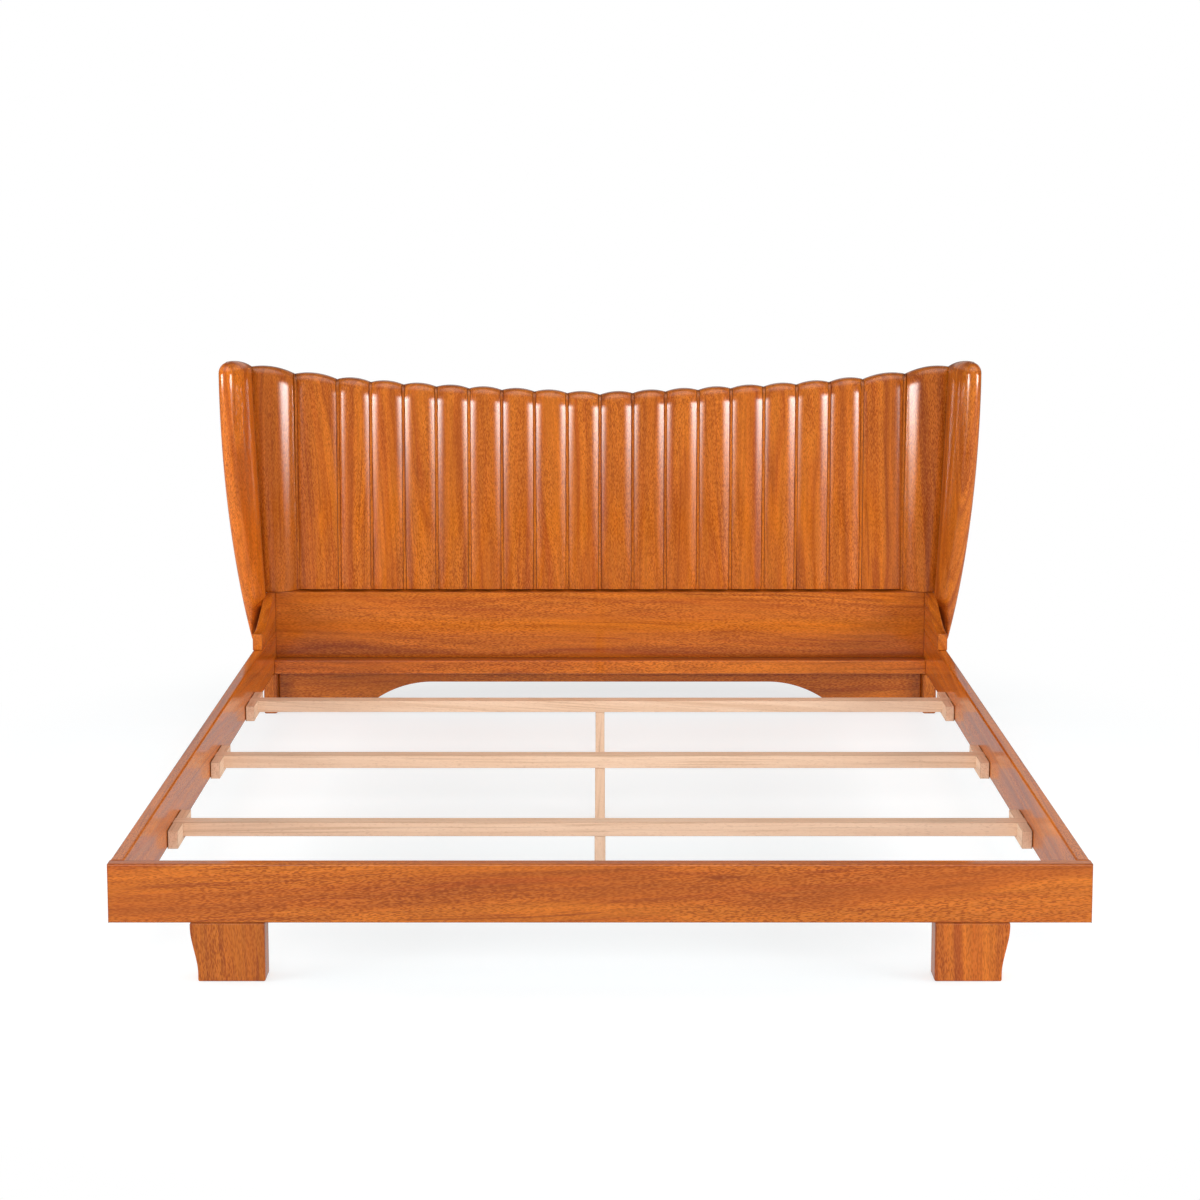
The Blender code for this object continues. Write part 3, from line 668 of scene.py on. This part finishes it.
def make_brackets():
    """Cheek brackets: a low nose, then an S-curve up to the top of the head panel."""
    for seed, (side, sign) in enumerate(SIDES, SEEDS["bracket"]):
        name = "cheek_bracket_" + side
        low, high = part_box(name)
        nose = low.z + BRACKET_NOSE_HEIGHT
        run = np.linspace(0.0, 1.0, CURVE_STEPS + 1)
        start = low.y + BRACKET_NOSE_FLAT
        curve = np.column_stack([start + (PANEL_FACE - start) * run, nose + (high.z - nose) * ease(run)])
        front = [(high.y, low.z), (low.y, low.z), (low.y, nose)]
        outline = np.vstack([front, curve, [(high.y, high.z)]])

        def place(u, v, outer, sign=sign):
            across = sign * (HALF_INNER + outer * (HALF_OUTER - HALF_INNER))
            return np.column_stack([np.full_like(u, across), u, v])

        shaped_board(name, outline, place, "frame", "mahogany", "along", BRACKET_ARRIS, seed)


def make_blocks(row, seed):
    """The two notched blocks that a bearer drops into, with a painted shadow line where they meet the
    rails.

    The outline is a rectangle with a notch in its top, as wide as the bearer and its play.
    """
    bearer_low, bearer_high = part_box("cross_bearer_" + row)
    notch_low, notch_high = bearer_low.y - NOTCH_PLAY, bearer_high.y + NOTCH_PLAY
    seat = bearer_low.z - SEAT_GAP
    for step, (side, sign) in enumerate(SIDES):
        name = f"bearer_block_{row}_{side}"
        low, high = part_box(name)
        outline = [(low.y, low.z), (high.y, low.z), (high.y, high.z), (notch_high, high.z),
                   (notch_high, seat), (notch_low, seat), (notch_low, high.z), (low.y, high.z)]

        def place(u, v, far, low=low, high=high):
            return np.column_stack([np.full_like(u, low.x + far * (high.x - low.x)), u, v])

        # painted shadow on the side of each block that meets its rail
        rail_side_shadow = np.repeat([sign < 0, sign > 0], len(outline))
        shaped_board(name, outline, place, "frame", "beech", "along", BEECH_ARRIS, seed + step, rail_side_shadow)


def make_bearers():
    """Pale bearers with their legs, and the blocks on the rails that they drop into."""
    for step, row in enumerate(ROWS):
        bearer, leg, body = "cross_bearer_" + row, "centre_leg_" + row, "bearer_" + row
        bearer_seed, leg_seed = SEEDS["bearer"] + step, SEEDS["leg"] + step
        keep_ends_square(planed_board(bearer, body, "beech", "across", BEECH_ARRIS, bearer_seed))
        planed_board(leg, body, "beech", "upright", BEECH_ARRIS, leg_seed)
        make_blocks(row, SEEDS["block"] + len(SIDES) * step)


def top_line(across):
    """Height of the headboard's top line: an even rise and a fifth-power sweep towards the sides."""
    share = across / HALF_OUTER
    return TOP_CENTRE + TOP_RISE * share + TOP_SWEEP * share ** TOP_SWEEP_POWER


def groove_plan(index, high):
    """Front and back ends of a joint between staves, in plan: 0 on the centre line, 10 beside the wing.

    The tops lean forward with the square of the distance from the centre line.
    """
    place = index * STAVE_PITCH if index < CORNER_INDEX else STRAIGHT_HALF
    corner = np.array([place, GROOVE_LINE - high * TOP_LEAN * (place / STRAIGHT_HALF) ** 2])
    if index < CORNER_INDEX:
        return corner, corner + np.array([0.0, STAVE_EDGE_THICKNESS])
    if index == CORNER_INDEX:
        mitre = CORNER_TURN / 2
        depth = STAVE_EDGE_THICKNESS / math.cos(mitre)
    else:
        mitre = CORNER_TURN
        depth = STAVE_EDGE_THICKNESS
        width = CORNER_STAVE_HIGH if high else CORNER_STAVE_LOW
        corner = corner + width * np.array([math.cos(CORNER_TURN), -math.sin(CORNER_TURN)])
    return corner, corner + depth * np.array([math.sin(mitre), math.cos(mitre)])


def top_corners(index):
    """Front corners of a stave's two joints at the top, in plan."""
    return groove_plan(index, True)[0], groove_plan(index + 1, True)[0]


def half_width(index):
    """Half the width of a stave at the top."""
    inner, outer = top_corners(index)
    return np.linalg.norm(outer - inner) / 2


def stave_top(index, spread):
    """Height of a stave's top across its width: a straight slope less a parabola, for the scallop."""
    inner, outer = top_corners(index)
    low, high = top_line(inner[0]), top_line(outer[0])
    drop = SCALLOP_RATIO * np.linalg.norm(outer - inner)
    return low + (spread + 1) / 2 * (high - low) - drop * spread * spread


def flute_spread(half):
    """Places across a stave from -1 to 1, close together over the strips and quirks at its edges."""
    edge = (STRIP_HALF + QUIRK_WIDTH) / half
    middle = np.linspace(-1 + edge, 1 - edge, FLUTE_STEPS + 1)
    step = np.linspace(0.0, edge, QUIRK_STEPS + 1)[:-1]
    return np.concatenate([-1 + step, middle, (1 - step)[::-1]])


def from_strip(index, spread, half):
    """Distance across a stave from the middle of the nearest strip; there is none beside the wing."""
    plain = (index == CORNER_INDEX) & (spread > 0)
    return np.where(plain, half, (1 - np.abs(spread)) * half)


def across_quirk(index, spread, half):
    """Place across a quirk: 0 from the strip on, 1 from the flute on."""
    return np.clip((from_strip(index, spread, half) - STRIP_HALF) / QUIRK_WIDTH, 0.0, 1.0)


def flute_crown(index, spread, half):
    """Crown of a flute: a parabola, then a V-shaped quirk, then half of a crowned strip at the joint."""
    inner_fall = CORNER_FALL if index == CORNER_INDEX else 1.0
    outer_fall = WIDE_FALL if index == WIDE_INDEX else 1.0
    fall = np.where(spread > 0, outer_fall, inner_fall)
    crown = FLUTE_DEPTH * (1 - fall * spread * spread)
    in_quirk = across_quirk(index, spread, half)
    rim = STRIP_RISE + in_quirk * (crown - STRIP_RISE)
    quirk = QUIRK_DEPTH * (1 - np.abs(2 * in_quirk - 1))
    bead = STRIP_BEAD * np.clip(1 - (from_strip(index, spread, half) / STRIP_HALF) ** 2, 0.0, 1.0)
    return np.where(in_quirk < 1, rim - quirk + bead, crown)


def stave_plan(index, spread, high):
    """Front and back of a stave in plan, low or high on the board, and the way to its back."""
    inner, inner_back = groove_plan(index, high)
    outer, outer_back = groove_plan(index + 1, high)
    width = np.linalg.norm(outer - inner)
    along = (outer - inner) / width
    trim = along * BOND_GAP / 2
    share = ((spread + 1) / 2)[:, None]
    forward = np.array([along[1], -along[0]])
    crown = flute_crown(index, spread, width / 2)[:, None]
    front = (inner + trim) + share * (outer - inner - 2 * trim) + crown * forward
    back = (inner_back + trim) + share * (outer_back - inner_back - 2 * trim)
    return front, back, -forward


def raised(plan, height):
    """Points in plan with their heights added."""
    return np.concatenate([plan, np.broadcast_to(height[..., None], (*plan.shape[:2], 1))], axis=2)


def stave_rings(index):
    """Rings of a stave: its plan carried up between the low and high ends, then rolled back at the top.

    The roll moves the front back by a power of one less the cosine, and up by the sine, of a quarter
    turn.  A first ring makes the foot: it is drawn back below the crown, and the next one raised there.
    """
    half = half_width(index)
    spread = flute_spread(half)
    low_front, low_back, _ = stave_plan(index, spread, False)
    high_front, high_back, rearward = stave_plan(index, spread, True)
    shoulder = stave_top(index, spread) - SOFT_ROLL

    rise = np.linspace(0.0, 1.0, STAVE_LEVELS + 1)[:, None, None]
    angle = np.linspace(0.0, math.pi / 2, ROLL_STEPS + 1)[1:, None]
    height = np.concatenate([STAVE_FOOT + rise[:, :, 0] * (shoulder - STAVE_FOOT),
                             shoulder + SOFT_ROLL * np.sin(angle)])
    roll = (STAVE_EDGE_THICKNESS - TOP_LAND) * (1 - np.cos(angle))[:, :, None] ** ROLL_POWER
    front = np.concatenate([low_front + rise * (high_front - low_front), high_front + roll * rearward])
    back = np.concatenate([low_back + rise * (high_back - low_back),
                           np.broadcast_to(high_back, (ROLL_STEPS, *high_back.shape))])
    rings = np.concatenate([raised(front, height), raised(back, height)[:, ::-1]], axis=1)

    foot = rings[:1].copy()
    if index < CORNER_INDEX:
        crown = flute_crown(index, spread, half)
        foot[:, :len(spread), :2] += (STAVE_CHAMFER + crown)[:, None] * rearward
        rings[0, :len(spread), 2] += FOOT_SLOPE * crown
    foot[:, :, 2] -= FOOT_TONGUE * np.clip((foot[:, :, 0] - HALF_OUTER) / TONGUE_SLOPE, 0.0, 1.0)
    rings[0, :, 2] += STAVE_CHAMFER
    return np.concatenate([foot, rings])


def stave_gap_shades(index, levels):
    """Painted shade for each point of a stave: in its quirks, at its foot and in the notches at its top."""
    half = half_width(index)
    in_quirk = across_quirk(index, flute_spread(half), half)
    level = np.arange(levels)[:, None]
    quirk = 1 - np.abs(2 * in_quirk - 1)
    notch = NOTCH_SHADE * np.clip((level - levels + 1) / ROLL_STEPS + 1, 0.0, 1.0) * (in_quirk < 1)
    foot = (FOOT_SHADE if index < CORNER_INDEX else CORNER_FOOT_SHADE) * (level == 0)
    front = np.maximum(np.maximum(quirk, notch), foot)
    return np.concatenate([front, np.zeros_like(front)], axis=1)


def wing_shoulder():
    """Height where the wing's top starts to round: below the corner stave's outer end by a plain roll."""
    return stave_top(CORNER_INDEX, 1.0) - TOP_ROLL_HEIGHT


def wing_sections(height):
    """Plan sections of the right wing at many heights, and the middle line that its top shrinks to.

    The root follows the joint with the corner stave.  Half-width and reach grow with one less a power
    of what is left of the rise.  The section runs along a crowned inner face, round a half-circle
    nose and straight back along the outer face.
    """
    peak = wing_shoulder() + WING_DROP + WING_CROWN
    rise = np.clip((height - WING_TAIL) / (peak - WING_TAIL), 0.0, 1.0)
    sweep = (1 - (1 - rise) ** WING_SWEEP_POWER)[:, None]
    blend = np.clip((height - STAVE_FOOT) / (wing_shoulder() - STAVE_FOOT), 0.0, 1.0)[:, None]
    thin = np.clip((height - WING_TAIL) / (STAVE_FOOT - WING_TAIL), 0.0, 1.0)[:, None]
    low_front, low_back = groove_plan(CORNER_INDEX + 1, False)
    high_front, high_back = groove_plan(CORNER_INDEX + 1, True)
    trim = np.array([math.cos(CORNER_TURN), -math.sin(CORNER_TURN)]) * BOND_GAP / 2
    front = low_front + blend * (high_front - low_front) + trim
    back = low_back + blend * (high_back - low_back) + trim
    radius = WING_TAIL_NOSE + (WING_ROUND - WING_TAIL_NOSE) * ease(thin)
    half = WING_LOW_HALF + sweep * (WING_HIGH_HALF - WING_LOW_HALF)
    reach = WING_LOW_REACH + sweep * (WING_HIGH_REACH - WING_LOW_REACH)
    nose = np.hstack([half - radius, front[:, 1:] - reach])
    root = (front + back) / 2
    ahead = (nose - root) / np.linalg.norm(nose - root, axis=1, keepdims=True)
    inward = np.column_stack([ahead[:, 1], -ahead[:, 0]])

    angle = np.linspace(0.0, math.pi, WING_NOSE_STEPS)[None, :, None]
    turned = np.cos(angle) * inward[:, None] + np.sin(angle) * ahead[:, None]
    bow = nose[:, None] + radius[:, None] * turned
    run = np.insert(np.linspace(0.0, 1.0, WING_FACE_STEPS + 1)[:-1], 1, WING_ROOT_SHADE)[None, :, None]
    inner = front[:, None] + run * (bow[:, :1] - front[:, None])
    inner = inner + inward[:, None] * WING_SWELL * 4 * run * (1 - run)
    outer = bow[:, -1:] + (1 - run[:, ::-1]) * (back[:, None] - bow[:, -1:])
    inner_spine = root[:, None] + run * (nose - root)[:, None]
    nose_spine = np.repeat(nose[:, None], WING_NOSE_STEPS, axis=1)
    spine = np.concatenate([inner_spine, nose_spine, inner_spine[:, ::-1]], axis=1)
    return np.concatenate([inner, bow, outer], axis=1), spine


def wing_tail():
    """Rings of a wing's tail: sections that shrink downwards to the outer side, except at their back."""
    share = np.linspace(0.0, 1.0, TAIL_LEVELS + 1)[:-1]
    height = WING_TAIL + share * (STAVE_FOOT - WING_TAIL)
    tail, _ = wing_sections(height)
    full = np.sqrt(np.minimum(share / TAIL_START, 1.0))
    size = (TAIL_SHARE + (1 - TAIL_SHARE) * full)[:, None, None]
    behind = np.clip(np.arange(tail.shape[1]) - (tail.shape[1] - WING_FACE_STEPS - 1), 0, None)
    size = size + (1 - size) * (behind / behind.max())[None, :, None]
    corner = np.stack([tail[:, :, 0].max(axis=1), tail[:, :, 1].mean(axis=1)], axis=1)[:, None]
    return raised(corner + (tail - corner) * size, height[:, None])


def wing_top():
    """Rings of a wing's top: the section drawn in to its middle line over most of a quarter turn.

    The top rises along the wing by one less a square, and falls a little again towards the nose.
    """
    shoulder = wing_shoulder()
    outline, spine = wing_sections(np.array([shoulder]))
    span = np.linalg.norm(spine[0] - spine[0, 0], axis=1)
    along = span / span.max()
    angle = np.linspace(0.0, DOME_END, DOME_STEPS + 1)[:, None]
    lift = WING_DROP * np.where(along < CREST_PLACE, 1 - (1 - along / CREST_PLACE) ** 2,
                                1 - CREST_FALL * ((along - CREST_PLACE) / (1 - CREST_PLACE)) ** 2)
    crown = shoulder + lift + WING_CROWN * np.sin(angle) / math.sin(DOME_END)
    return raised(spine + (outline - spine) * np.cos(angle)[:, :, None], crown)


def wing_rings():
    """Rings of the right wing: a thinning tail, the swept body, and a top rounded to its middle line."""
    height = np.linspace(STAVE_FOOT, wing_shoulder(), WING_LEVELS + 1)[:-1]
    flank, _ = wing_sections(height)
    return np.concatenate([wing_tail(), raised(flank, height[:, None]), wing_top()])


def wing_gap_shades(rings):
    """Painted shade for each point of a wing: a line at its root, and on the tail's inner face in the gap
    at the bracket.
    """
    run = np.arange(rings.shape[1]) / (WING_FACE_STEPS + 1)
    below = np.clip((STAVE_FOOT - rings[:, :1, 2]) / (STAVE_FOOT - WING_TAIL), 0.0, 1.0)
    width = np.clip(TAIL_SHADE_GROWTH * below, TAIL_SHADE_LEAST, 1.0)
    start, end = (width * share for share in TAIL_SHADE)
    across = 1 - ease(np.clip((run - start) / (end - start), 0.0, 1.0))
    return np.where(below > 0, across, run == 0)


def make_headboard():
    """Ten staves and a wing on each side of the centre line."""
    for offset, (side, sign) in enumerate(SIDES):
        pieces = []
        for index in range(STAVES_PER_SIDE):
            rings = stave_rings(index)
            pieces.append((f"stave_{side}_{index + 1:02d}", rings, stave_gap_shades(index, len(rings))))
        rings = wing_rings()
        pieces.append(("wing_" + side, rings, wing_gap_shades(rings)))
        first_seed = SEEDS["headboard"] + SIDE_SEEDS * offset
        for seed, (name, rings, gap_shades) in enumerate(pieces, first_seed):
            mesh = skin(name, rings * (sign, 1, 1), True)
            # painted shade in the gaps of the staves and wings
            mark_gap_shades(mesh, np.broadcast_to(gap_shades, rings.shape[:2]))
            mesh.shade_smooth()
            mesh.set_sharp_from_angle(angle=CREASE_ANGLE)
            place_piece(name, mesh, "frame", "mahogany", "upright", seed)


def finish_dowels():
    """The dowels stay as the solids are, in beech."""
    plain = beech("dowel", "upright", np.random.default_rng(SEEDS["dowel"]), None, False)
    for name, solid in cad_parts.items():
        if "dowel" in name:
            solid.data.materials.clear()
            solid.data.materials.append(plain)


def floor_material():
    """Pale floor: it takes soft shadows, and fades to plain white to the eye away from the object.

    Reflections pass through it and show the surroundings.
    """
    floor = Finish(bpy.data.materials.new("studio_floor"))
    path = floor.add("ShaderNodeLightPath")
    shade = floor.add("ShaderNodeBsdfDiffuse", {"Color": FLOOR_SHADE})
    lift = floor.add("ShaderNodeEmission", {"Color": WHITE, "Strength": FLOOR_LIFT})
    shadowed = floor.add("ShaderNodeAddShader", {0: shade.outputs[0], 1: lift.outputs[0]})
    white = floor.add("ShaderNodeEmission", {"Color": WHITE, "Strength": 1.0})
    seen = floor.either(floor.between(floor.length(floor.place()), *FLOOR_FADE), shadowed, white)
    matt = floor.add("ShaderNodeBsdfDiffuse", {"Color": FLOOR_WHITE})
    clear = floor.add("ShaderNodeBsdfTransparent")
    unseen = floor.either(path.outputs["Is Glossy Ray"], matt, clear)
    return floor.surface(floor.either(path.outputs["Is Camera Ray"], unseen, seen))


def make_floor():
    """A flat square of floor under the feet."""
    corner = np.array([[-1, -1, 0], [1, -1, 0], [1, 1, 0], [-1, 1, 0]]) * FLOOR_HALF
    mesh = bpy.data.meshes.new("floor")
    mesh.from_pydata(corner.tolist(), [], [(0, 1, 2, 3)])
    mesh.materials.append(floor_material())
    floor = bpy.data.objects.new("floor", mesh)
    bpy.context.scene.collection.objects.link(floor)


def make_world():
    """White surroundings to the eye, and a gentle light.

    In reflections they are dim in front and at the back, with a soft glow low on each side and another
    one overhead.
    """
    studio = Finish(bpy.data.worlds.new("white_studio"))
    way = studio.add("ShaderNodeTexCoord").outputs["Generated"]
    x, y, z = studio.add("ShaderNodeSeparateXYZ", {0: way}).outputs

    angle = studio.maths("ARCTAN2", studio.maths("ABSOLUTE", x), studio.maths("MULTIPLY", y, -1.0))
    angle = studio.maths("ADD", angle, studio.maths("MULTIPLY", x, SIDE_GLOW_LEAN))
    start, full, fade, end = (math.radians(degrees) for degrees in SIDE_GLOW_ANGLE)
    beside = studio.maths("POWER", studio.between(angle, start, full), SIDE_GLOW_POWER)
    beside = studio.maths("MULTIPLY", beside, studio.between(angle, fade, end, 1.0, 0.0))
    lit = studio.maths("ADD", studio.between(z, *SIDE_GLOW_FOOT, 0.0, SIDE_GLOW),
                       studio.between(z, *LOW_GLOW_FOOT, 0.0, LOW_GLOW))
    lit = studio.maths("MULTIPLY", lit, studio.between(z, *SIDE_GLOW_TOP, 1.0, 0.0))
    above = studio.maths("MULTIPLY", studio.between(z, *TOP_GLOW_FOOT, 0.0, TOP_GLOW),
                         studio.between(y, *TOP_GLOW_BACK, 1.0, 0.0))
    glow = studio.maths("ADD", studio.maths("MULTIPLY", beside, lit), above)

    sky = studio.maths("MULTIPLY", studio.between(z, *SKY_MIRRORED), studio.between(z, *SKY_END))
    behind = studio.maths("ADD", studio.between(z, *BACK_MIRRORED), sky)
    before = studio.between(z, *FRONT_MIRRORED)
    plain = studio.mix(studio.between(y, *MIRRORED_TURN), before, behind)
    mirrored = studio.maths("ADD", glow, plain)

    path = studio.add("ShaderNodeLightPath")
    unseen = studio.mix(path.outputs["Is Glossy Ray"], WORLD_LIGHT, mirrored)
    level = studio.mix(path.outputs["Is Camera Ray"], unseen, 1.0)
    ground = studio.add("ShaderNodeBackground", {"Color": WHITE, "Strength": level})
    bpy.context.scene.world = studio.surface(ground)


def make_lamps():
    """Rectangular soft lamps that aren't seen in reflections: two low at the sides, one overhead.

    A broad one stands behind the camera and a weak one at the back.
    """
    for name, spot, aim, size, power in LAMPS:
        data = bpy.data.lights.new(name, "AREA")
        data.shape = "RECTANGLE"
        data.size, data.size_y = size
        data.energy = power
        lamp = bpy.data.objects.new(name, data)
        bpy.context.scene.collection.objects.link(lamp)
        lamp.location = spot
        lamp.rotation_euler = (Vector(aim) - lamp.location).to_track_quat("-Z", "Y").to_euler()
        lamp.visible_glossy = False


def make_camera():
    """The photograph's view: from the foot end, a little above the headboard, looking slightly down."""
    data = bpy.data.cameras.new("view")
    data.sensor_width = CAMERA_SENSOR
    data.lens = CAMERA_LENS
    data.shift_y = CAMERA_SHIFT
    data.clip_end = CAMERA_DEPTH
    camera = bpy.data.objects.new("view", data)
    camera.location = CAMERA_SPOT
    camera.rotation_euler = (math.pi / 2 - CAMERA_PITCH, 0.0, 0.0)
    bpy.context.scene.collection.objects.link(camera)
    bpy.context.scene.camera = camera


make_boards()
make_front_feet()
make_apron()
make_brackets()
make_bearers()
make_headboard()
finish_dowels()
make_floor()
make_world()
make_lamps()
make_camera()
bpy.context.scene.view_settings.view_transform = "Standard"
